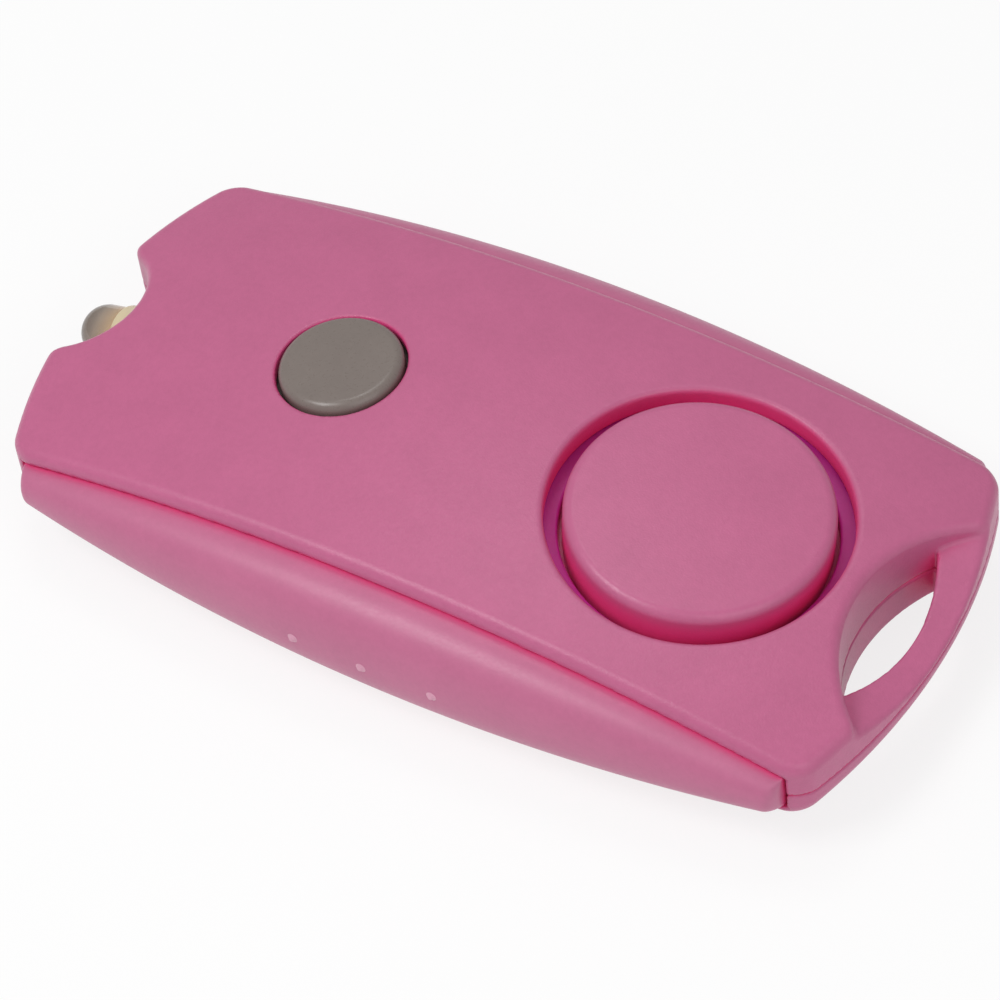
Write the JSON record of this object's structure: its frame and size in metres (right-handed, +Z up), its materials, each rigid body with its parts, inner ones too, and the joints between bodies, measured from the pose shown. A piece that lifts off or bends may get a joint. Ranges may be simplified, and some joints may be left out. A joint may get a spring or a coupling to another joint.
{
  "type": "personal safety alarm",
  "caption": "Pink pocket safety alarm with a round alarm button, a grey torch button, an end lamp, squeeze side buttons and a ring slot.",
  "frame": {"origin": "middle of the flat that the case rests on", "axes": "+X along the case from the lamp end to the ring slot, +Y across it, +Z up through the buttons"},
  "size_m": [0.0839, 0.0446, 0.0153],
  "materials": {
    "case_plastic": "satin, finely textured",
    "side_plastic": "satin",
    "button_plastic": "satin",
    "ring_plastic": "satin",
    "grey_plastic": "semi-gloss",
    "lamp_epoxy": "clear, faintly warm",
    "cream_plastic": "satin",
    "steel": "plated",
    "board_laminate": "solder mask",
    "black_plastic": "moulded",
    "brass_sheet": "bare",
    "ceramic": "fired silver",
    "foam_rubber": "closed cell",
    "ferrite": "sintered",
    "copper_wire": "lacquered",
    "capacitor_sleeve": "shrunk sleeve",
    "red_insulation": "extruded",
    "black_insulation": "extruded",
    "white_insulation": "extruded"
  },
  "bodies": {
    "case": {"top_cover": "case_plastic", "bottom_cover": "case_plastic", "sound_ring": "ring_plastic", "torch_led": "lamp_epoxy", "led_collar": "cream_plastic", "led_leads": "steel", "circuit_board": "board_laminate", "torch_switch": "black_plastic", "side_switch_left": "black_plastic", "side_switch_right": "black_plastic", "alarm_board": "board_laminate", "alarm_switch": "black_plastic", "piezo_plate": "brass_sheet", "piezo_ceramic": "ceramic", "piezo_gasket": "foam_rubber", "battery_holder": "black_plastic", "battery_cells": "steel", "battery_contact_plate": "brass_sheet", "battery_contact_spring": "steel", "driver_chip": "black_plastic", "boost_coil_core": "ferrite", "boost_coil_winding": "copper_wire", "capacitor": "capacitor_sleeve", "transistor": "black_plastic", "chip_resistors": "black_plastic", "battery_wire_red": "red_insulation", "battery_wire_black": "black_insulation", "piezo_wires": "red_insulation", "alarm_switch_wires": "white_insulation", "case_screws": "steel"},
    "alarm_press_body": {"alarm_button": "button_plastic", "alarm_switch_plunger": "cream_plastic"},
    "torch_press_body": {"torch_button": "grey_plastic", "torch_switch_plunger": "cream_plastic"},
    "left_press_body": {"side_button_left": "side_plastic", "side_switch_plunger_left": "cream_plastic"},
    "right_press_body": {"side_button_right": "side_plastic", "side_switch_plunger_right": "cream_plastic"}
  },
  "joints": [
    {"name": "alarm_press", "type": "slide", "parent": "case", "child": "alarm_press_body", "axis": [-0.1067, 0, -0.9943], "range_m": [0, 0.001], "stiffness_N_per_m": 2000},
    {"name": "torch_press", "type": "slide", "parent": "case", "child": "torch_press_body", "axis": [0.0781, 0, -0.9969], "range_m": [0, 0.0006], "stiffness_N_per_m": 2500},
    {"name": "left_squeeze", "type": "slide", "parent": "case", "child": "left_press_body", "axis": [0, 1, 0], "range_m": [0, 0.001], "stiffness_N_per_m": 2500},
    {"name": "right_squeeze", "type": "slide", "parent": "case", "child": "right_press_body", "axis": [0, -1, 0], "range_m": [0, 0.001], "stiffness_N_per_m": 2500}
  ]
}
